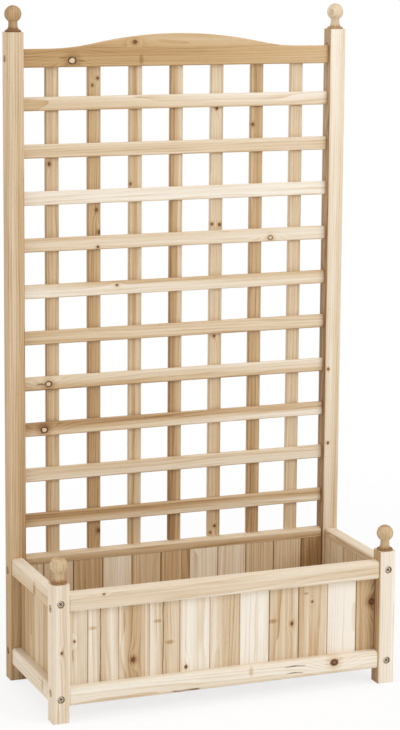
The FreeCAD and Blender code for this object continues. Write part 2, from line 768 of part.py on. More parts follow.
os.makedirs("parts", exist_ok=True)
for node in NODES:
    if node.Shape.isNull() or not node.Shape.isValid():
        raise RuntimeError(f"{node.Label} has no valid shape")
for node in NODES:
    node.Shape.exportStep(os.path.join("parts", f"{node.Label}.step"))
whole = Part.makeCompound([node.Shape for node in NODES]).optimalBoundingBox()
print(len(NODES), "sub-parts", round(whole.XLength, 3), round(whole.YLength, 3), round(whole.ZLength, 3))
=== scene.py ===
import math
import random

import bmesh
import bpy
from mathutils import Matrix, Vector


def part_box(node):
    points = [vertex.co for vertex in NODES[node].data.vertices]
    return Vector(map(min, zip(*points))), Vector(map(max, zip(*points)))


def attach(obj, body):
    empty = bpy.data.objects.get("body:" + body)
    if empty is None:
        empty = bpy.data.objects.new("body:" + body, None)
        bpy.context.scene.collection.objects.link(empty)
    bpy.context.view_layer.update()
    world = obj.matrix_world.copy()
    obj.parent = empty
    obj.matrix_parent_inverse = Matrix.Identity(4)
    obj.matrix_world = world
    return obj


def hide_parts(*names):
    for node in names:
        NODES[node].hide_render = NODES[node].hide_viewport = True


# A planter box of raw softwood with a trellis behind it, seen from its left front.
# Lengths are in millimetres, turned into metres where a mesh, lamp or camera is made.
MM = 0.001

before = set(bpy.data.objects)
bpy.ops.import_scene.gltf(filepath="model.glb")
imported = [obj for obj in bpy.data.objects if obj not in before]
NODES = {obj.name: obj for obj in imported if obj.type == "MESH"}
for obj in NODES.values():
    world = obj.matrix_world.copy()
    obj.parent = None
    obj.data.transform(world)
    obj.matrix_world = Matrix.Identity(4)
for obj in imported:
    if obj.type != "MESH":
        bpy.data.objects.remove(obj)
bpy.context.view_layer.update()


def box_of(piece):
    """A CAD node's lowest and highest corners, by axis, in millimetres."""
    return tuple({axis: round(value / MM, 3) for axis, value in zip("xyz", corner)}
                 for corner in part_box(piece))


def middle(piece, axis):
    """The middle of a CAD node's box along an axis, in millimetres."""
    low, high = box_of(piece)
    return (low[axis] + high[axis]) / 2


# ---- Places taken from the frame. The two sides and the two ends of the planter mirror each other.
POST_LOW, POST_HIGH = box_of("rear_post_right")
POST_X = middle("rear_post_right", "x")
POST_Y = middle("rear_post_right", "y")
POST_TOP = POST_HIGH["z"]
LEG_TOP = box_of("front_leg_right")[1]["z"]
LONG_RAIL_Y = middle("back_upper_rail", "y")
SIDE_RAIL_X = middle("right_upper_rail", "x")
UPPER_RAIL_HEIGHT = middle("front_upper_rail", "z")
LOWER_RAIL_HEIGHT = middle("front_lower_rail", "z")
LOWEST_SLAT = box_of("cross_slat_10")[0]["z"]
SLAT_PITCH = box_of("cross_slat_09")[0]["z"] - LOWEST_SLAT

# ---- The tones of the wood, from the palest board to the darkest, as red, green and blue out of 255.
PALE = (245, 237, 224)
CREAM = (226, 208, 181)
TAN = (201, 171, 131)
BROWN = (168, 132, 90)
UMBER = (134, 97, 60)
TONES = ((0.0, PALE), (0.3, CREAM), (0.6, TAN), (0.85, BROWN), (1.0, UMBER))
OCHRE = (198, 160, 104)
KNOT_PALE = (222, 196, 160)
KNOT_WARM = (140, 92, 54)
KNOT_DARK = (66, 42, 28)
CRACK = (92, 56, 26)

# ---- The grain of the wood. Sizes are along, across and through the wood, and depths say how much darker it
# gets. A seed tells one noise from another, and a span is where a fade starts and ends.
RING_GAP = 5.2
RING_DEPTH = 0.26
RING_SHARPNESS = 2.2
RING_MEAN = 0.25
PITH_ACROSS = 110
PITH_NEAR = 22
PITH_FAR = 80
PITH_LEAN = 0.06
WOBBLE_SIZE = (300, 48, 48)
WOBBLE_DEPTH = 12
BAND_SIZE = (260, 500, 500)
BAND_SEED = 3
BAND_SWAY = 0.22
STREAK_SIZE = (420, 4.5, 4.5)
STREAK_SEED = 5
STREAK_DEPTH = 0.42
BROAD_SIZE = (600, 26, 26)
BROAD_SEED = 9
BROAD_DEPTH = 0.28
FIBRE_SIZE = (26, 0.8, 0.8)
FIBRE_SEED = 13
FIBRE_DETAIL = 3.0
FIBRE_DEPTH = 0.15
FLECK_SIZE = (16, 1.2, 1.2)
FLECK_SEED = 17
FLECK_SPAN = (0.16, 0.26)
FLECK_DEPTH = 0.24
PATCH_SIZE = (170, 14, 14)
PATCH_SEED = 21
PATCH_SPAN = (-0.1, 0.25)
PATCH_FLOOR = 0.45
END_GRAIN_SPAN = (0.7, 0.95)
END_GRAIN_DEPTH = 0.16
FLANK_SPAN = (0.6, 0.9)
FARTHEST_OFFSET = 40
OFFSET_STEPS = (1.0, 1.7, 2.3)
BOARD_THROW = 900
BOARD_SEEDS = 99
BUMP_HEIGHT = 0.22
BUMP_STRENGTH = 0.6
FIBRE_BUMP = 0.6
RING_BUMP = 0.35
KNOT_BUMP = -0.5
ROUGHNESS = 0.66
FIBRE_ROUGHNESS = 0.25
RING_ROUGHNESS = -0.1
SHEEN_LEVEL = 0.28

# ---- Knots and cracks. Lengths, widths and halos of knots are in their own radii.
KNOT_RAGGED_SIZE = (3, 3, 3)
KNOT_RAGGED = 0.45
KNOT_LENGTH = 1.18
CLOUD_LENGTH = 0.83
CLOUD_WIDTH = 1.8
KNOT_HALO = (2.6, 0.2)
CLOUD_HALO = (1.3, 0.2)
HALO_DEPTH = 0.34
SWERVE_REACH = 0.22
SWERVE_DEPTH = 1.6
SWIRL = 9.0
KNOT_EDGE = (1.0, 0.8)
KNOT_STRENGTH = 0.95
HEART_EDGE = (0.66, 0.5)
CRACK_BEND_SIZE = (48, 400, 400)
CRACK_BEND_SEED = 31
CRACK_BEND = 7
CRACK_THIN_SIZE = (30, 400, 400)
CRACK_THIN_SEED = 37
CRACK_THIN_SPAN = (-0.2, 0.2)
CRACK_THINNEST = 0.55
CRACK_END = 12
CRACK_STRENGTH = 0.9

# ---- The thin dark lines where a board's edge or a rail's end meets its neighbour, and along a slat's lower edge
# and an upright's edges; painted shadow just under each cross slat on the uprights' fronts, and painted shade
# round the foot of each finial. The ends of rails and slats are at the inner faces of the posts.
LINE_CORE = 0.3
EDGE_LINE_WIDTH = 2.2
EDGE_LINE_DEPTH = 0.4
END_LINE_DEPTH = 0.5
SLAT_SHADOW_WIDTH = 3.2
SLAT_SHADOW_DEPTH = 0.45
SLAT_EDGE_WIDTH = 3.0
SLAT_EDGE_DEPTH = 0.24
UPRIGHT_EDGE_WIDTH = 1.8
UPRIGHT_EDGE_DEPTH = 0.3
FRONT_SPAN = (-0.5, -0.9)
COVE_SHADE_HEIGHT = 13
COVE_SHADE_DEPTH = 0.34
END_LINES = {
    "long_rail": POST_LOW["x"],
    "slat": POST_LOW["x"],
    "side_rail": POST_LOW["y"],
}

# ---- Which way the grain of each kind of piece runs, and which way is across its face.
GRAIN = {
    "post": ("z", "x"),
    "turned": ("z", "x"),
    "upright": ("z", "x"),
    "long_board": ("z", "x"),
    "side_board": ("z", "y"),
    "long_rail": ("x", "z"),
    "side_rail": ("y", "z"),
    "slat": ("x", "z"),
    "batten": ("x", "z"),
    "floor": ("y", "x"),
}

# ---- How dark each piece is, 0 for the palest wood and 1 for the darkest, in even bands across its face.
# Boards that share a node have one shade each.
# The bands go from left to right on posts, boards and uprights, and from the bottom up on rails and slats.
POST_SHADES = {
    "front_leg_left": (0.26, 0.18, 0.42, 0.14),
    "front_leg_right": (0.16, 0.08, 0.2, 0.1),
    # The rear left post is darker partly in its own tone and partly in painted shade below the rails.
    "rear_post_left": (0.64, 0.48, 0.66, 0.72),
    "rear_post_right": (0.42, 0.26, 0.28, 0.42, 0.34),
}
LONG_RAIL_SHADES = {
    "front_upper_rail": (0.24, 0.4, 0.24),
    "front_lower_rail": (0.3, 0.1, 0.18),
    # The back upper rail's darker lower bands are partly painted shade of the planter's inside.
    "back_upper_rail": (0.66, 0.7, 0.46),
    "back_lower_rail": (0.4, 0.5, 0.4),
}
SIDE_RAIL_SHADES = {
    "left_upper_rail": (0.56, 0.5, 0.24),
    "left_lower_rail": (0.3, 0.22, 0.3),
    # The right upper rail's darker lower bands are partly painted shade of the planter's inside.
    "right_upper_rail": (0.5, 0.55, 0.28),
    "right_lower_rail": (0.4, 0.5, 0.4),
}
SLAT_SHADES = (
    (0.47, 0.31, 0.2),
    (0.36, 0.48, 0.33),
    (0.13, 0.06, 0.11),
    (0.34, 0.25, 0.38),
    (0.2, 0.22, 0.54),
    (0.53, 0.38, 0.5),
    (0.64, 0.36, 0.26),
    (0.25, 0.33, 0.71, 0.68),
    (0.23, 0.26, 0.36),
    (0.32, 0.36, 0.72, 0.68),
)
UPRIGHT_SHADES = (
    (0.59, 0.49, 0.57),
    (0.74, 0.68, 0.66),
    (0.44, 0.68, 0.5, 0.37),
    (0.84, 0.8, 0.48, 0.42),
    (0.34, 0.42, 0.52),
    (0.66, 0.74, 0.64),
    (0.38, 0.44, 0.52),
)
FRONT_BOARD_SHADES = (
    (0.4, 0.16, 0.3),
    (0.1, 0.22, 0.5, 0.12, 0.34),
    (0.14, 0.5, 0.64, 0.5, 0.12),
    (0.08, 0.28, 0.56, 0.3, 0.42),
    (0.22, 0.06, 0.12, 0.1),
    (0.14, 0.3, 0.52, 0.42),
    (0.1, 0.01, 0.01, 0.06),
    (0.52, 0.5, 0.4, 0.44, 0.06),
    (0.56, 0.42, 0.5, 0.36),
    (0.04, 0.01, 0.04),
    (0.5, 0.66, 0.6, 0.76),
)
TOP_RAIL_SHADES = (0.62, 0.74, 0.66, 0.56)
# The back boards' shades are partly their own tones and partly painted shade of the planter's inside, darkest
# in the right-hand corner.
INNER_BOARD_SHADES = (0.44, 0.46, 0.66, 0.27, 0.5, 0.64, 0.22, 0.28, 0.5, 0.48, 0.84)
LEFT_BOARD_SHADES = (0.56, 0.62, 0.5, 0.66, 0.82)
# The right side boards' shades are partly their own tones and partly painted shade of the planter's inside.
RIGHT_BOARD_SHADES = (0.5, 0.4, 0.46, 0.34, 0.4)
FLOOR_SHADES = (0.4, 0.56, 0.34, 0.5, 0.44, 0.6, 0.38, 0.5)
BATTEN_SHADES = (0.45, 0.45)
FINIAL_SHADES = {"front_left": 0.56, "rear_left": 0.78, "front_right": 0.62, "rear_right": 0.42}

# ---- How much darker a piece is at its right or upper end than at its left or lower end: partly the wood's own tone and partly painted shade from the way the light falls along the piece.
SLAT_DRIFTS = (-0.3, -0.1, -0.08, -0.22, 0.21, -0.08, -0.16, -0.36, -0.14, -0.28)
UPRIGHT_DRIFTS = (-0.12, -0.1, 0.02, -0.28, -0.15, -0.05, -0.05)
POST_DRIFTS = {"rear_post_left": -0.24, "rear_post_right": -0.3}
TOP_RAIL_DRIFT = -0.26
BACK_RAIL_DRIFT = -0.18

# ---- Boards in a row that share a node: the left edge of the first board and the spacing.
BACK_BOARD_ROW = (-390, 70)
SIDE_BOARD_ROW = (-175, 70)
FLOOR_BOARD_ROW = (-364.5, 91.1)

# ---- How much darker the sides of the right-hand posts are, partly their own browner tone and partly painted shade, and how yellow the trellis is.
INNER_FLANK_SHADE = 0.5
TOP_RAIL_WARMTH = 0.34
TRELLIS_WARMTH = 0.08

# ---- Knots: the piece, what shows, its place and its radius. The place is a height above the ground on
# upright pieces and a distance from the middle on level ones, then a share of the width of the piece's face.
# A cloud is the soft shadow of a knot that lies under the face, and a ring is a knot with a pale heart.
KNOTS = (
    ("front_board_01", "knot", 170, 0.35, 2.8),
    ("front_board_02", "cloud", 195, 0.15, 6.0),
    ("front_board_03", "knot", 115, 0.45, 5.4),
    ("front_board_04", "cloud", 195, 0.25, 6.0),
    ("front_board_04", "cloud", 145, 0.65, 6.5),
    ("front_board_05", "knot", 85, 0.2, 4.4),
    ("front_board_08", "knot", 155, 0.75, 4.0),
    ("front_board_08", "cloud", 165, 0.1, 7.0),
    ("front_board_09", "knot", 200, 0.45, 2.6),
    ("front_board_09", "cloud", 220, 0.25, 4.0),
    ("front_board_11", "knot", 185, 0.8, 8.0),
    ("front_leg_left", "knot", 155, 0.5, 2.8),
    ("left_upper_rail", "cloud", -30, 0.35, 12.0),
    ("left_lower_rail", "cloud", -85, 0.6, 9.0),
    ("front_upper_rail", "knot", -285, 0.8, 2.4),
    ("front_lower_rail", "knot", 255, 0.65, 9.5),
    ("front_lower_rail", "cloud", 55, 0.7, 7.0),
    ("top_rail", "ring", -250, 0.2, 9.5),
    ("top_rail", "knot", -105, 0.75, 5.0),
    ("top_rail", "cloud", -90, 0.2, 7.0),
    ("upright_slat_1", "knot", 1155, 0.25, 4.0),
    ("upright_slat_2", "knot", 1340, 0.75, 3.2),
    ("upright_slat_2", "knot", 1325, 0.35, 2.6),
    ("upright_slat_2", "knot", 1050, 0.65, 3.6),
    ("upright_slat_2", "knot", 1000, 0.9, 4.4),
    ("upright_slat_2", "knot", 320, 0.85, 4.0),
    ("upright_slat_3", "knot", 1105, 0.1, 2.4),
    ("upright_slat_5", "knot", 1268, 0.45, 3.8),
    ("upright_slat_5", "knot", 1005, 0.75, 4.0),
    ("upright_slat_5", "knot", 1007, 0.15, 3.2),
    ("upright_slat_5", "knot", 750, 0.4, 3.2),
    ("upright_slat_5", "knot", 305, 0.55, 3.2),
    ("upright_slat_5", "knot", 290, 0.2, 2.6),
    ("upright_slat_6", "knot", 1230, 0.15, 3.4),
    ("cross_slat_04", "knot", -190, 0.2, 3.2),
    ("cross_slat_04", "ring", 225, 0.3, 6.0),
    ("cross_slat_05", "knot", -145, 0.7, 2.8),
    ("cross_slat_07", "ring", -305, 0.45, 8.0),
    ("cross_slat_08", "ring", -315, 0.45, 8.5),
    ("rear_post_right", "knot", 660, 0.2, 3.4),
    ("rear_post_right", "knot", 485, 0.25, 3.4),
)

# ---- Cracks and dark marks: the piece, the places it runs between, its share across the face and its width.
CRACKS = (
    ("front_board_01", 120, 160, 0.3, 1.2),
    ("front_board_02", 55, 262, 0.4, 2.2),
    ("front_board_04", 55, 262, 0.43, 1.9),
    ("cross_slat_07", -338, -308, 0.45, 3.0),
    ("top_rail", -285, -258, 0.28, 2.0),
    ("top_rail", -242, -215, 0.18, 2.0),
    ("front_lower_rail", -135, -60, 0.1, 3.0),
    ("front_lower_rail", 130, 190, 0.68, 2.2),
    ("front_lower_rail", 135, 185, 0.3, 1.8),
)

# ---- The screws, whose heads lie in round recesses. A head is radii and heights above its underside.
SCREW_HEAD_HEIGHT = 4.0
SCREW_HEAD = ((1.2, SCREW_HEAD_HEIGHT), (4.2, 3.9), (5.7, 3.5), (6.8, 2.5), (7.2, 1.4), (7.0, 0))
SCREW_SHANK_RADIUS = 2.6
SCREW_THREAD_RADIUS = 3.15
SCREW_LENGTH = 74
SCREW_POINT = 8
SCREW_TIP_SHARE = 0.08
SCREW_SIDES = 24
THREAD_PITCH = 3.0
THREAD_STEPS = 4
THREAD_STEEPNESS = 4
RECESS_ARM = 4.4
RECESS_WIDTH = 1.9
RECESS_DEPTH = 2.6
RECESS_CLEARANCE = 1
RECESS_MOUTH = 1.1
RECESS_FOOT = 0.55
SCREW_SUNK = 7
LONG_SIDE_SCREW_DROP = 2.5
SHORT_SIDE_SCREW_DROP = 11.5
SHORT_SIDE_SCREW_RISE = 9.5
TOP_RAIL_SCREW_RISE = 20
LONG_SIDE_SCREW_Y = POST_HIGH["y"] - SCREW_SUNK
LONG_SIDE_SCREW_HEIGHTS = (UPPER_RAIL_HEIGHT, LOWER_RAIL_HEIGHT - LONG_SIDE_SCREW_DROP)
SHORT_SIDE_SCREW_X = POST_HIGH["x"] - SCREW_SUNK
SHORT_SIDE_SCREW_HEIGHTS = (
    UPPER_RAIL_HEIGHT - SHORT_SIDE_SCREW_DROP,
    LOWER_RAIL_HEIGHT + SHORT_SIDE_SCREW_RISE,
)
TOP_RAIL_SCREW_HEIGHT = box_of("top_rail")[0]["z"] + TOP_RAIL_SCREW_RISE
STEEL_TONE = (240, 230, 208)
STEEL_ROUGHNESS = 0.55
# The inside of a screw's cross recess is painted dark: painted shade in the hollow.
RECESS_SHADE_TONE = (50, 42, 34)
RECESS_SHADE_ROUGHNESS = 0.75
STEEL_SHINE = 0.1
STEEL_CLOUDS = 900.0
STEEL_CLOUD_DETAIL = 3.0
STEEL_CLOUD_SPAN = (0.3, 0.7)
STEEL_DARKER = 0.72
STEEL_ROUGHNESS_SWAY = 0.08
STEEL_BUMP_STRENGTH = 0.3
STEEL_BUMP_HEIGHT = 0.05

# ---- The turned finials, which stand on the middles of the legs and posts. The flare is radii and heights.
BALL_RADIUS = 18.5
BALL_HEIGHT = 38.5
NECK_RADIUS = 10
SPIGOT_RADIUS = 6
SPIGOT_LENGTH = 22
SPIGOT_BEVEL = 1
FLARE = ((15.6, 4.6), (13.2, 5.8), (11.6, 7.8), (10.5, 10.6), (10.0, 14.5), (9.9, 19.0))
RIM_RADIUS = 18
RIM_HEIGHT = 4.0
RIM_ROUND = 1.6
RIM_STEPS = 8
FINIAL_SIDES = 56
BALL_STEPS = 26
SMOOTH_BELOW = 35

# ---- The camera, which stands to the left in front of the planter and looks a little down.
CAMERA_PLACE = (-1813.9, -4555.6, 1660.8)
CAMERA_YAW = 21.658
CAMERA_PITCH = -8.995
CAMERA_ROLL = 0.417
LENS = 111.95
SENSOR = 36.0
SHIFT_UP = -0.1027

# ---- The light: each lamp's name, its place, its width and height in metres, and its power in watts.
LAMPS = (
    ("key", (2600, -3000, 2600), 2.6, 2.2, 84),
    ("fill", (-3600, -900, 1500), 2.4, 2.4, 36),
    ("top", (200, -300, 3900), 2.6, 2.2, 36),
    ("back", (-700, 3800, 1900), 2.6, 2.2, 40),
)
LAMP_TARGET = (0, 0, 700)
SKY_STRENGTH = 0.46
WHITE = (1.0, 1.0, 1.0, 1.0)
FLOOR_TONE = (252, 252, 252)
FLOOR_SPECKLE_TONE = (248, 248, 248)
FLOOR_SPECKLES = 90.0
FLOOR_SPECKLE_SPAN = (0.3, 0.7)
FLOOR_SIZE = 14000
FLOOR_SQUARES = 8
FLOOR_WHITE_NEAR = 0.78
FLOOR_FADE_FROM = 900
FLOOR_FADE_TO = 2400


def linear(tone):
    """A tone out of 255 as the four linear numbers a shader takes, by the sRGB curve."""
    shares = [value / 255 for value in tone]
    return tuple(s / 12.92 if s <= 0.04045 else ((s + 0.055) / 1.055) ** 2.4 for s in shares) + (1.0,)


class Shader:
    """A node tree, of a material or of the world, with a short call for each kind of node."""

    def __init__(self, name):
        self.material = bpy.data.materials.new(name)
        self.material.use_nodes = True
        self.start(self.material.node_tree)

    @classmethod
    def of_tree(cls, tree):
        """The helper for a node tree that isn't a new material's."""
        made = cls.__new__(cls)
        made.start(tree)
        return made

    def start(self, tree):
        """Takes the tree over and empties it."""
        self.nodes = tree.nodes
        self.links = tree.links
        self.nodes.clear()

    def feed(self, socket, value):
        """Links a socket to another one, or sets its value."""
        if isinstance(value, bpy.types.NodeSocket):
            self.links.new(value, socket)
        else:
            socket.default_value = value

    def node(self, kind, inputs=(), **settings):
        """A new node with these inputs and settings."""
        made = self.nodes.new(kind)
        for key, value in settings.items():
            setattr(made, key, value)
        for key, value in dict(inputs).items():
            self.feed(made.inputs[key], value)
        return made

    def sum(self, operation, *values):
        """The outcome of a Math node that does this operation."""
        made = self.nodes.new("ShaderNodeMath")
        made.operation = operation
        for socket, value in zip(made.inputs, values):
            self.feed(socket, value)
        return made.outputs[0]

    def add(self, *values):
        """All the values added up."""
        total = values[0]
        for value in values[1:]:
            total = self.sum("ADD", total, value)
        return total

    def times(self, first, second):
        return self.sum("MULTIPLY", first, second)

    def vector(self, x, y, z):
        return self.node("ShaderNodeCombineXYZ", {"X": x, "Y": y, "Z": z}).outputs[0]

    def in_millimetres(self, source):
        """Object coordinates in millimetres."""
        return self.node("ShaderNodeVectorMath", {0: source.outputs["Object"], "Scale": 1 / MM},
                         operation="SCALE").outputs[0]

    def noise(self, place, sizes, offset, detail=2.0):
        """Noise from -0.5 to 0.5 whose patches have these sizes along, across and through the wood."""
        scaled = self.node("ShaderNodeVectorMath", {0: place, 1: tuple(1 / size for size in sizes),
                                                    2: tuple(offset * step for step in OFFSET_STEPS)},
                           operation="MULTIPLY_ADD")
        made = self.node("ShaderNodeTexNoise", {"Vector": scaled.outputs[0], "Scale": 1.0, "Detail": detail})
        return self.add(made.outputs["Fac"], -0.5)

    def fade(self, value, start, end, low=0.0, high=1.0):
        """Goes smoothly from low to high as the value goes from start to end."""
        made = self.node("ShaderNodeMapRange", {"Value": value, "From Min": start, "From Max": end,
                                                "To Min": low, "To Max": high},
                         interpolation_type="SMOOTHSTEP")
        return made.outputs["Result"]

    def ramp(self, value, stops):
        """A colour from tones at places from 0 to 1."""
        made = self.node("ShaderNodeValToRGB", {"Fac": value})
        elements = made.color_ramp.elements
        while len(elements) < len(stops):
            elements.new(0.5)
        for element, (position, tone) in zip(elements, stops):
            element.position = position
            element.color = linear(tone)
        return made.outputs["Color"]

    def bands(self, share, values, interpolation="LINEAR"):
        """A number that passes through these values, evenly spaced, as the share goes from 0 to 1."""
        made = self.node("ShaderNodeValToRGB", {"Fac": share})
        made.color_ramp.interpolation = interpolation
        elements = made.color_ramp.elements
        while len(elements) < len(values):
            elements.new(0.5)
        spaces = len(values) - (interpolation == "LINEAR")
        for i, (element, value) in enumerate(zip(elements, values)):
            element.position = i / spaces
            element.color = (value, value, value, 1.0)
        return made.outputs["Color"]

    def steps(self, share, values):
        """The same without blending: one value for each equal part of the way."""
        return self.bands(share, values, "CONSTANT")

    def mix(self, share, first, second):
        """A colour that is the first where the share is 0 and the second where it is 1."""
        made = self.nodes.new("ShaderNodeMix")
        made.data_type = "RGBA"
        self.feed(made.inputs["Factor"], share)
        self.feed(made.inputs[6], first)
        self.feed(made.inputs[7], second)
        return made.outputs[2]

    def finish(self, surface):
        """The material, with this surface."""
        output = self.nodes.new("ShaderNodeOutputMaterial")
        self.links.new(surface, output.inputs["Surface"])
        return self.material


class Wood(Shader):
    """Raw sawn softwood for one CAD node, as a solid pattern. Its rings are round a pith that leans, so that
    a face shows arches and an end shows arcs. A row is the first edge and the spacing of the boards that one
    node holds, and then each board has wood of its own."""

    def __init__(self, piece, kind, row=None):
        super().__init__("wood_" + piece)
        self.piece = piece
        self.kind = kind
        grain, face = GRAIN[kind]
        depth = next(axis for axis in "xyz" if axis not in (grain, face))
        axes = (grain, face, depth)
        low, high = box_of(piece)
        self.low, self.face_low, self.depth_low = (low[axis] for axis in axes)
        self.high, self.face_high, self.depth_high = (high[axis] for axis in axes)
        source = self.node("ShaderNodeTexCoord")
        split = self.node("ShaderNodeSeparateXYZ", {0: self.in_millimetres(source)})
        self.along, self.across, self.through = (split.outputs[axis.upper()] for axis in axes)
        normal = self.node("ShaderNodeSeparateXYZ", {0: source.outputs["Normal"]})
        self.end_facing, self.side_facing, self.rear_facing = (normal.outputs[axis.upper()] for axis in axes)
        self.choose(row)
        away = self.add(self.along, self.times(self.odds[0], BOARD_THROW))
        self.place = self.vector(away, self.across, self.through)
        self.share = self.sum("DIVIDE", self.sum("SUBTRACT", self.across, self.edge), self.width)

    def choose(self, row):
        """Draws this wood's chances, and says where the board at each point starts and how wide it is."""
        chance = random.Random(self.piece)
        self.offset = chance.uniform(0, FARTHEST_OFFSET)
        self.odds = [chance.random() for _ in range(3)]
        self.edge = self.face_low
        self.width = self.face_high - self.face_low
        self.number = None
        if row:
            first, self.width = row
            past = self.sum("SUBTRACT", self.across, first)
            self.number = self.sum("FLOOR", self.sum("DIVIDE", past, self.width))
            seed = self.add(self.number, chance.randint(0, BOARD_SEEDS) + 0.5)
            throw = self.node("ShaderNodeTexWhiteNoise", {"W": seed}, noise_dimensions="1D")
            self.odds = self.node("ShaderNodeSeparateColor", {0: throw.outputs["Color"]}).outputs
            self.edge = self.add(self.times(self.number, self.width), first)

    def grained(self, size, seed=0, detail=2.0):
        """Noise of this wood's own."""
        return self.noise(self.place, size, self.offset + seed, detail)

    def off_face(self, share):
        """How far each point lies from the line at this share of the face's width."""
        return self.add(self.across, -self.face_low - share * (self.face_high - self.face_low))

    def thin_line(self, distance, width, depth):
        """Darker by this depth where the distance is nought, and no darker from this width on."""
        return self.fade(distance, width, width * LINE_CORE, 0.0, depth)

    def shade(self, shades):
        """How dark each point is: bands across the face, or one shade for each board in a row."""
        if self.number is not None:
            return self.steps(self.sum("DIVIDE", self.add(self.number, 0.5), len(shades)), shades)
        sway = self.times(self.grained(BAND_SIZE, BAND_SEED), BAND_SWAY)
        return self.bands(self.add(self.share, sway), shades)

    def drifted(self, drift):
        """How much darker each point is for a piece that gets darker by this much from end to end, partly
        painted shade.
        """
        return self.times(self.add(self.along, -(self.low + self.high) / 2), drift / (self.high - self.low))

    def lines(self):
        """The thin dark lines where a piece meets its neighbours or runs along its edges, with painted shadow
        under the cross slats on the uprights and painted shade at the feet of the finials.
        """
        to_rim = self.sum("MINIMUM", self.share, self.sum("SUBTRACT", 1.0, self.share))
        rim = self.times(to_rim, self.width)
        if self.kind in ("long_board", "side_board"):
            return self.thin_line(rim, EDGE_LINE_WIDTH, EDGE_LINE_DEPTH)
        if self.kind == "turned":
            # Painted shade in the cove where a finial stands on its leg or post.
            bases = [self.sum("ABSOLUTE", self.add(self.along, -top)) for top in (LEG_TOP, POST_TOP)]
            return self.thin_line(self.sum("MINIMUM", *bases), COVE_SHADE_HEIGHT, COVE_SHADE_DEPTH)
        if self.kind == "upright":
            # Painted shadow on the uprights' fronts just under each cross slat.
            below = self.sum("DIVIDE", self.sum("SUBTRACT", LOWEST_SLAT, self.along), SLAT_PITCH)
            gap = self.times(self.sum("FRACT", below), SLAT_PITCH)
            under_slat_shadow = self.thin_line(gap, SLAT_SHADOW_WIDTH, SLAT_SHADOW_DEPTH)
            edges = self.thin_line(rim, UPRIGHT_EDGE_WIDTH, UPRIGHT_EDGE_DEPTH)
            return self.times(self.add(under_slat_shadow, edges), self.fade(self.rear_facing, *FRONT_SPAN))
        if self.kind not in END_LINES:
            return 0.0
        end = self.sum("SUBTRACT", END_LINES[self.kind], self.sum("ABSOLUTE", self.along))
        line = self.thin_line(end, EDGE_LINE_WIDTH, END_LINE_DEPTH)
        if self.kind == "slat":
            lower_edge = self.thin_line(self.off_face(0.0), SLAT_EDGE_WIDTH, SLAT_EDGE_DEPTH)
            line = self.add(line, lower_edge)
        return line

    def find_knots(self):
        """How dark the wood round the knots is, how far they push the rings aside, and each knot's look with
        the distance from its middle in its own radii."""
        halo, push, marks = 0.0, 0.0, []
        for look, place, share, size in (rest for piece, *rest in KNOTS if piece == self.piece):
            soft = look == "cloud"
            length, breadth = (CLOUD_LENGTH, CLOUD_WIDTH) if soft else (KNOT_LENGTH, 1.0)
            reach = self.times(self.add(self.along, -place), 1 / (size * length))
            apart = self.times(self.off_face(share), 1 / (size * breadth))
            reach_squared, apart_squared = self.times(reach, reach), self.times(apart, apart)
            ragged = self.times(self.grained(KNOT_RAGGED_SIZE), KNOT_RAGGED)
            away = self.add(self.sum("SQRT", self.add(reach_squared, apart_squared)), ragged)
            halo = self.sum("MAXIMUM", halo, self.fade(away, *(CLOUD_HALO if soft else KNOT_HALO)))
            if not soft:
                bulge = self.add(apart_squared, self.times(reach_squared, SWERVE_REACH))
                swerve = self.sum("EXPONENT", self.times(bulge, -SWERVE_REACH))
                push = self.add(push, self.times(swerve, size * SWERVE_DEPTH))
                marks.append((look, away))
        return halo, push, marks

    def lay_knots(self, colour, marks):
        """The knots laid over a colour, and where they are."""
        core = 0.0
        for look, away in marks:
            inside = self.fade(away, *KNOT_EDGE)
            core = self.sum("MAXIMUM", core, inside)
            swirl = self.fade(self.sum("SINE", self.times(away, SWIRL)), -1.0, 1.0)
            heart = self.mix(swirl, linear(KNOT_DARK), linear(KNOT_WARM))
            if look == "ring":
                heart = self.mix(self.fade(away, *HEART_EDGE), linear(KNOT_DARK), linear(KNOT_PALE))
            colour = self.mix(self.times(inside, KNOT_STRENGTH), colour, heart)
        return colour, core

    def lay_cracks(self, colour):
        """The cracks laid over a colour: wavy lines, thinner here and there, that fade at their ends."""
        for start, stop, share, width in (rest for piece, *rest in CRACKS if piece == self.piece):
            bend = self.times(self.grained(CRACK_BEND_SIZE, CRACK_BEND_SEED), CRACK_BEND)
            gap = self.sum("ABSOLUTE", self.add(self.off_face(share), bend))
            inside = self.times(self.fade(self.along, start, start + CRACK_END),
                                self.fade(self.along, stop, stop - CRACK_END))
            thin = self.fade(self.grained(CRACK_THIN_SIZE, CRACK_THIN_SEED), *CRACK_THIN_SPAN, CRACK_THINNEST)
            line = self.times(self.times(self.fade(gap, width, width * LINE_CORE), inside), thin)
            colour = self.mix(self.times(line, CRACK_STRENGTH), colour, linear(CRACK))
        return colour

    def rings(self, push):
        """The growth rings, from 0 for pale spring wood to 1 for dark summer wood."""
        wobble = self.times(self.grained(WOBBLE_SIZE), WOBBLE_DEPTH)
        lean = self.times(self.times(self.add(self.odds[1], -0.5), PITH_LEAN), self.along)
        aside = self.times(self.add(self.odds[0], -0.5), PITH_ACROSS)
        side = self.add(self.sum("SUBTRACT", self.across, self.edge), -self.width / 2, lean, aside)
        deep = PITH_NEAR - (self.depth_low + self.depth_high) / 2
        behind = self.add(self.through, deep, self.times(self.odds[2], PITH_FAR))
        radius = self.sum("SQRT", self.add(self.times(side, side), self.times(behind, behind)))
        turns = self.sum("FRACT", self.sum("DIVIDE", self.add(radius, wobble, push), RING_GAP))
        return self.sum("POWER", turns, RING_SHARPNESS)


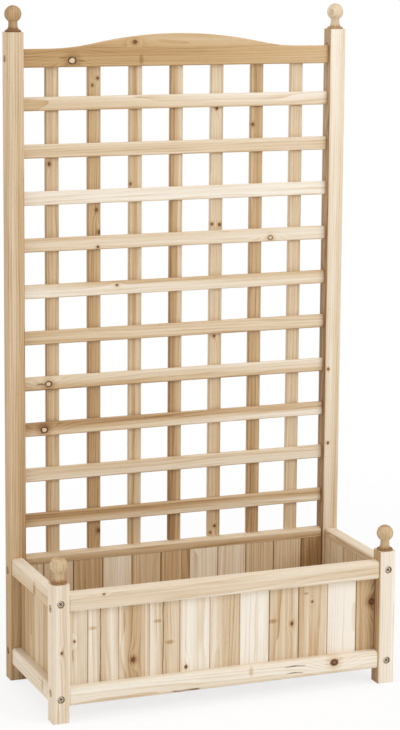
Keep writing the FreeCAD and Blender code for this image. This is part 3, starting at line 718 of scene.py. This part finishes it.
def wood(piece, kind, shades, row=None, flank_shade=0.0, warmth=0.0, drift=0.0):
    """The material of a wooden piece. A flank is how much darker the sides of a post are than its front,
    partly its own browner tone and partly painted shade; warmth is how yellow the wood is; and a drift is how
    much darker its right or upper end is, partly its own tone and partly painted shade."""
    made = Wood(piece, kind, row)
    halo, push, marks = made.find_knots()
    ring = made.rings(push)
    fibre = made.grained(FIBRE_SIZE, FIBRE_SEED, FIBRE_DETAIL)
    fleck = made.fade(made.grained(FLECK_SIZE, FLECK_SEED), *FLECK_SPAN)
    patch = made.fade(made.grained(PATCH_SIZE, PATCH_SEED), *PATCH_SPAN)
    end = made.fade(made.sum("ABSOLUTE", made.end_facing), *END_GRAIN_SPAN)
    # The sides of a piece, where the right-hand posts get painted shade.
    turned_away = made.fade(made.sum("ABSOLUTE", made.side_facing), *FLANK_SPAN)
    tone = made.add(made.shade(shades), made.lines(), made.drifted(drift), -RING_DEPTH * RING_MEAN,
                    made.times(made.times(ring, RING_DEPTH), made.add(patch, PATCH_FLOOR)),
                    made.times(made.grained(STREAK_SIZE, STREAK_SEED), STREAK_DEPTH),
                    made.times(made.grained(BROAD_SIZE, BROAD_SEED), BROAD_DEPTH),
                    made.times(fibre, FIBRE_DEPTH), made.times(fleck, FLECK_DEPTH),
                    made.times(end, END_GRAIN_DEPTH), made.times(halo, HALO_DEPTH),
                    made.times(turned_away, flank_shade))
    colour = made.mix(warmth, made.ramp(tone, TONES), linear(OCHRE))
    colour, core = made.lay_knots(colour, marks)
    colour = made.lay_cracks(colour)
    height = made.add(made.times(fibre, FIBRE_BUMP), made.times(ring, RING_BUMP), made.times(core, KNOT_BUMP))
    bump = made.node("ShaderNodeBump", {"Strength": BUMP_STRENGTH, "Distance": BUMP_HEIGHT * MM,
                                        "Height": height})
    rough = made.add(ROUGHNESS, made.times(fibre, FIBRE_ROUGHNESS), made.times(ring, RING_ROUGHNESS))
    surface = made.node("ShaderNodeBsdfPrincipled", {"Base Color": colour, "Roughness": rough,
                                                     "Specular IOR Level": SHEEN_LEVEL,
                                                     "Normal": bump.outputs[0]})
    return made.finish(surface.outputs[0])


def steel(name, tone, roughness):
    """Zinc-plated steel, or the painted shade inside a screw's recess."""
    shader = Shader(name)
    source = shader.node("ShaderNodeTexCoord")
    cloud = shader.node("ShaderNodeTexNoise", {"Vector": source.outputs["Object"], "Scale": STEEL_CLOUDS,
                                               "Detail": STEEL_CLOUD_DETAIL}).outputs["Fac"]
    start, end = STEEL_CLOUD_SPAN
    dark = tuple(value * STEEL_DARKER for value in tone)
    colour = shader.ramp(cloud, ((start, dark), (end, tone)))
    rough = shader.fade(cloud, start, end, roughness - STEEL_ROUGHNESS_SWAY, roughness + STEEL_ROUGHNESS_SWAY)
    bump = shader.node("ShaderNodeBump", {"Strength": STEEL_BUMP_STRENGTH, "Distance": STEEL_BUMP_HEIGHT * MM,
                                          "Height": cloud})
    surface = shader.node("ShaderNodeBsdfPrincipled", {"Base Color": colour, "Roughness": rough,
                                                       "Metallic": STEEL_SHINE, "Normal": bump.outputs[0]})
    return shader.finish(surface.outputs[0])


def paint(node, material):
    """Gives a CAD node its material."""
    materials = NODES[node].data.materials
    materials.clear()
    materials.append(material)


def hoop(shape, corners):
    """The vertices of a closed loop about the Z axis, from the radius and height of each."""
    made = []
    for i, (radius, height) in enumerate(corners):
        angle = 2 * math.pi * i / len(corners)
        made.append(shape.verts.new((radius * math.cos(angle), radius * math.sin(angle), height)))
    return made


def turned(outline, sides):
    """A turned solid about the Z axis. The outline is radii and heights from the lower pole to the upper."""
    shape = bmesh.new()
    lower = shape.verts.new((0, 0, outline[0][1]))
    upper = shape.verts.new((0, 0, outline[-1][1]))
    hoops = [hoop(shape, [corner] * sides) for corner in outline[1:-1]]
    for i in range(sides):
        after = (i + 1) % sides
        shape.faces.new((lower, hoops[0][after], hoops[0][i]))
        shape.faces.new((upper, hoops[-1][i], hoops[-1][after]))
        for below, above in zip(hoops, hoops[1:]):
            shape.faces.new((below[i], below[after], above[after], above[i]))
    return shape


def mesh_of(shape, name):
    """Turns a bmesh in millimetres into a mesh in metres, smooth except where its faces turn sharply."""
    bmesh.ops.scale(shape, vec=(MM, MM, MM), verts=shape.verts)
    bmesh.ops.recalc_face_normals(shape, faces=shape.faces)
    mesh = bpy.data.meshes.new(name)
    shape.to_mesh(mesh)
    shape.free()
    mesh.shade_smooth()
    mesh.set_sharp_from_angle(angle=math.radians(SMOOTH_BELOW))
    return mesh


def add_object(name, mesh, materials=()):
    """A new object in the scene, with these materials."""
    made = bpy.data.objects.new(name, mesh)
    bpy.context.scene.collection.objects.link(made)
    for material in materials:
        mesh.materials.append(material)
    return made


def merge(mesh, places, name):
    """One mesh with a copy of the given mesh at each place."""
    shape = bmesh.new()
    for place in places:
        copy = mesh.copy()
        copy.transform(place)
        shape.from_mesh(copy)
        bpy.data.meshes.remove(copy)
    made = bpy.data.meshes.new(name)
    shape.to_mesh(made)
    shape.free()
    return made


def finial_outline():
    """Radii and heights from the spigot's tip over the rounded rim, the flare and the neck to the ball."""
    outline = [(0, -SPIGOT_LENGTH), (SPIGOT_RADIUS - SPIGOT_BEVEL, -SPIGOT_LENGTH)]
    outline += [(SPIGOT_RADIUS, SPIGOT_BEVEL - SPIGOT_LENGTH), (SPIGOT_RADIUS, 0)]
    outline.append((RIM_RADIUS - RIM_ROUND, 0))
    for step in range(RIM_STEPS + 1):
        angle = -math.pi / 2 + math.pi * step / RIM_STEPS
        outline.append((RIM_RADIUS - RIM_ROUND + RIM_ROUND * math.cos(angle),
                        RIM_HEIGHT / 2 + RIM_HEIGHT / 2 * math.sin(angle)))
    outline += FLARE
    start = math.asin(NECK_RADIUS / BALL_RADIUS)
    for step in range(BALL_STEPS):
        angle = start + (math.pi - start) * step / BALL_STEPS
        outline.append((BALL_RADIUS * math.sin(angle), BALL_HEIGHT - BALL_RADIUS * math.cos(angle)))
    outline.append((0, BALL_HEIGHT + BALL_RADIUS))
    return outline


def make_finials():
    """Four turned finials in one object, each in wood of its own tone."""
    mesh = mesh_of(turned(finial_outline(), FINIAL_SIDES), "finial_turning")
    places, woods = [], []
    for name, shade in FINIAL_SHADES.items():
        x = -POST_X if name.endswith("left") else POST_X
        y, z = (-POST_Y, LEG_TOP) if name.startswith("front") else (POST_Y, POST_TOP)
        places.append(Matrix.Translation((x * MM, y * MM, z * MM)))
        woods.append(wood("finials", "turned", (shade, shade)))
    merged = merge(mesh, places, "turned_finials")
    faces_each = len(mesh.polygons)
    for face in merged.polygons:
        face.material_index = face.index // faces_each
    made = add_object("turned_finials", merged, woods)
    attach(made, "root")
    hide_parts("finials")


def threaded(depth):
    """The shank's radius and height at each corner at this depth, with the thread that winds round it."""
    taper = min(1, (SCREW_LENGTH - depth) / SCREW_POINT + SCREW_TIP_SHARE)
    corners = []
    for i in range(SCREW_SIDES):
        phase = (depth / THREAD_PITCH + i / SCREW_SIDES) % 1
        rise = max(0, 1 - abs(phase - 0.5) * THREAD_STEEPNESS)
        radius = SCREW_SHANK_RADIUS + (SCREW_THREAD_RADIUS - SCREW_SHANK_RADIUS) * rise
        corners.append((radius * taper, -depth))
    return corners


def screw_body():
    """A screw along Z whose head's underside is at 0: a domed head and a shank with a rising thread."""
    shape = bmesh.new()
    rows = [[corner] * SCREW_SIDES for corner in SCREW_HEAD + ((SCREW_SHANK_RADIUS, 0),)]
    steps = int(SCREW_LENGTH / THREAD_PITCH * THREAD_STEPS)
    rows += [threaded(SCREW_LENGTH * step / steps) for step in range(1, steps + 1)]
    hoops = [hoop(shape, row) for row in rows]
    for above, below in zip(hoops, hoops[1:]):
        for i in range(SCREW_SIDES):
            after = (i + 1) % SCREW_SIDES
            shape.faces.new((above[i], below[i], below[after], above[after]))
    shape.faces.new(hoops[0])
    shape.faces.new(list(reversed(hoops[-1])))
    return shape


def recess_cutter():
    """The four-armed tapering hollow that a driver fits."""
    shape = bmesh.new()
    half = RECESS_WIDTH / 2
    loops = []
    mouth = (SCREW_HEAD_HEIGHT + RECESS_CLEARANCE, RECESS_MOUTH)
    foot = (SCREW_HEAD_HEIGHT - RECESS_DEPTH, RECESS_FOOT)
    for height, share in (mouth, foot):
        points = []
        for quarter in range(4):
            turn = Matrix.Rotation(math.pi / 2 * quarter, 3, "Z")
            for x, y in ((RECESS_ARM * share, -half), (RECESS_ARM * share, half), (half, half)):
                points.append(shape.verts.new(turn @ Vector((x, y, height))))
        loops.append(points)
    count = len(loops[0])
    for i in range(count):
        after = (i + 1) % count
        shape.faces.new((loops[0][i], loops[0][after], loops[1][after], loops[1][i]))
    shape.faces.new(loops[0])
    shape.faces.new(list(reversed(loops[1])))
    return shape


def screw_mesh(metal, dark):
    """The screw with the hollow cut into its head."""
    body = add_object("screw_blank", mesh_of(screw_body(), "screw_blank"), [metal, dark])
    cutter = add_object("screw_recess", mesh_of(recess_cutter(), "screw_recess"), [metal, dark])
    # The recess's walls take the dark material: painted shade in the hollow.
    for polygon in cutter.data.polygons:
        polygon.material_index = 1
    cut = body.modifiers.new("recess", "BOOLEAN")
    cut.operation = "DIFFERENCE"
    cut.object = cutter
    cut.solver = "EXACT"
    bpy.context.view_layer.update()
    result = bpy.data.meshes.new_from_object(body.evaluated_get(bpy.context.evaluated_depsgraph_get()))
    bpy.data.objects.remove(body)
    bpy.data.objects.remove(cutter)
    return result


def make_screws():
    """The screws of the front, the rear and the two sides, each set in one object."""
    metal = steel("screw_steel", STEEL_TONE, STEEL_ROUGHNESS)
    dark = steel("screw_recess_painted_shade", RECESS_SHADE_TONE, RECESS_SHADE_ROUGHNESS)
    mesh = screw_mesh(metal, dark)
    chance = random.Random("screws")

    def stand(x, y, z, axis):
        turn = Vector((0, 0, 1)).rotation_difference(Vector(axis)).to_matrix().to_4x4()
        spin = Matrix.Rotation(chance.uniform(0, math.pi / 2), 4, "Z")
        return Matrix.Translation((x * MM, y * MM, z * MM)) @ turn @ spin

    sets = {"front": [], "rear": [], "left": [], "right": []}
    for side in (-1, 1):
        for height in LONG_SIDE_SCREW_HEIGHTS:
            sets["front"].append(stand(side * SIDE_RAIL_X, -LONG_SIDE_SCREW_Y, height, (0, -1, 0)))
            sets["rear"].append(stand(side * SIDE_RAIL_X, LONG_SIDE_SCREW_Y, height, (0, 1, 0)))
        name = "left" if side < 0 else "right"
        spots = [(y, height) for y in (-LONG_RAIL_Y, LONG_RAIL_Y) for height in SHORT_SIDE_SCREW_HEIGHTS]
        for y, height in spots + [(POST_Y, TOP_RAIL_SCREW_HEIGHT)]:
            sets[name].append(stand(side * SHORT_SIDE_SCREW_X, y, height, (side, 0, 0)))
    for name, places in sets.items():
        merged = merge(mesh, places, name + "_cross_head_screws")
        made = add_object(name + "_cross_head_screws", merged, [metal, dark])
        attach(made, "root")
        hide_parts(name + "_frame_screws")


def paint_wood():
    """Every wooden CAD node gets wood of its own."""
    for node, shades in POST_SHADES.items():
        # The sides of the right-hand posts are partly painted shade.
        flank_shade = INNER_FLANK_SHADE if node.endswith("right") else 0.0
        paint(node, wood(node, "post", shades, flank_shade=flank_shade, drift=POST_DRIFTS.get(node, 0.0)))
    for node, shades in LONG_RAIL_SHADES.items():
        drift = BACK_RAIL_DRIFT if node == "back_upper_rail" else 0.0
        paint(node, wood(node, "long_rail", shades, drift=drift))
    for node, shades in SIDE_RAIL_SHADES.items():
        paint(node, wood(node, "side_rail", shades))
    for number, (shades, drift) in enumerate(zip(SLAT_SHADES, SLAT_DRIFTS), 1):
        node = f"cross_slat_{number:02d}"
        paint(node, wood(node, "slat", shades, warmth=TRELLIS_WARMTH, drift=drift))
    for number, (shades, drift) in enumerate(zip(UPRIGHT_SHADES, UPRIGHT_DRIFTS), 1):
        node = f"upright_slat_{number}"
        paint(node, wood(node, "upright", shades, warmth=TRELLIS_WARMTH, drift=drift))
    for number, shades in enumerate(FRONT_BOARD_SHADES, 1):
        node = f"front_board_{number:02d}"
        paint(node, wood(node, "long_board", shades))
    paint("top_rail", wood("top_rail", "slat", TOP_RAIL_SHADES, warmth=TOP_RAIL_WARMTH, drift=TOP_RAIL_DRIFT))
    paint("back_boards", wood("back_boards", "long_board", INNER_BOARD_SHADES, row=BACK_BOARD_ROW))
    paint("left_side_boards", wood("left_side_boards", "side_board", LEFT_BOARD_SHADES, row=SIDE_BOARD_ROW))
    right = wood("right_side_boards", "side_board", RIGHT_BOARD_SHADES, row=SIDE_BOARD_ROW)
    paint("right_side_boards", right)
    for node in ("front_floor_batten", "back_floor_batten"):
        paint(node, wood(node, "batten", BATTEN_SHADES))
    paint("floor_boards", wood("floor_boards", "floor", FLOOR_SHADES, row=FLOOR_BOARD_ROW))


def make_camera():
    """The camera that sees the planter as the photograph does."""
    data = bpy.data.cameras.new("camera")
    data.lens = LENS
    data.sensor_width = SENSOR
    data.shift_y = SHIFT_UP
    camera = bpy.data.objects.new("camera", data)
    bpy.context.scene.collection.objects.link(camera)
    yaw, pitch, roll = (math.radians(angle) for angle in (CAMERA_YAW, CAMERA_PITCH, CAMERA_ROLL))
    forward = Vector((math.sin(yaw) * math.cos(pitch), math.cos(yaw) * math.cos(pitch), math.sin(pitch)))
    turn = forward.to_track_quat("-Z", "Y").to_matrix().to_4x4() @ Matrix.Rotation(roll, 4, "Z")
    camera.matrix_world = Matrix.Translation(Vector(CAMERA_PLACE) * MM) @ turn
    bpy.context.scene.camera = camera


def make_lamps():
    """Rectangular lamps that all aim at the same spot."""
    for name, place, width, height, power in LAMPS:
        data = bpy.data.lights.new(name, "AREA")
        data.shape = "RECTANGLE"
        data.size = width
        data.size_y = height
        data.energy = power
        lamp = bpy.data.objects.new(name, data)
        bpy.context.scene.collection.objects.link(lamp)
        lamp.location = Vector(place) * MM
        aim = Vector(LAMP_TARGET) - Vector(place)
        lamp.rotation_euler = aim.to_track_quat("-Z", "Y").to_euler()


def seen_ray(shader):
    """1 for rays that look at the background: the camera's, and those through or off shiny things."""
    path = shader.node("ShaderNodeLightPath")
    seen = shader.sum("MAXIMUM", path.outputs["Is Camera Ray"], path.outputs["Is Glossy Ray"])
    return shader.sum("MAXIMUM", seen, path.outputs["Is Transmission Ray"])


def make_world():
    """A sky that lights evenly and shows as plain white."""
    world = bpy.data.worlds.new("studio")
    bpy.context.scene.world = world
    world.use_nodes = True
    shader = Shader.of_tree(world.node_tree)
    sky = shader.node("ShaderNodeBackground", {"Color": WHITE, "Strength": SKY_STRENGTH})
    white = shader.node("ShaderNodeBackground", {"Color": WHITE, "Strength": 1.0})
    both = shader.node("ShaderNodeMixShader", {0: seen_ray(shader), 1: sky.outputs[0], 2: white.outputs[0]})
    output = shader.node("ShaderNodeOutputWorld")
    shader.links.new(both.outputs[0], output.inputs["Surface"])


def make_floor():
    """A pale floor that keeps the planter's shadow close by and fades to plain white further out."""
    shape = bmesh.new()
    bmesh.ops.create_grid(shape, x_segments=FLOOR_SQUARES, y_segments=FLOOR_SQUARES, size=FLOOR_SIZE / 2)
    floor = add_object("studio_floor", mesh_of(shape, "studio_floor"))
    shader = Shader("studio_floor")
    source = shader.node("ShaderNodeTexCoord")
    away = shader.node("ShaderNodeVectorMath", {0: shader.in_millimetres(source)}, operation="LENGTH")
    speckle = shader.node("ShaderNodeTexNoise", {"Vector": source.outputs["Object"], "Scale": FLOOR_SPECKLES})
    stops = tuple(zip(FLOOR_SPECKLE_SPAN, (FLOOR_SPECKLE_TONE, FLOOR_TONE)))
    tone = shader.ramp(speckle.outputs["Fac"], stops)
    plain = shader.node("ShaderNodeBsdfDiffuse", {"Color": tone})
    white = shader.node("ShaderNodeEmission", {"Color": WHITE, "Strength": 1.0})
    whiter = shader.fade(away.outputs["Value"], FLOOR_FADE_FROM, FLOOR_FADE_TO, FLOOR_WHITE_NEAR, 1.0)
    share = shader.times(seen_ray(shader), whiter)
    both = shader.node("ShaderNodeMixShader", {0: share, 1: plain.outputs[0], 2: white.outputs[0]})
    floor.data.materials.append(shader.finish(both.outputs[0]))


paint_wood()
make_finials()
make_screws()
make_camera()
make_lamps()
make_world()
make_floor()

bpy.context.scene.view_settings.view_transform = "Standard"
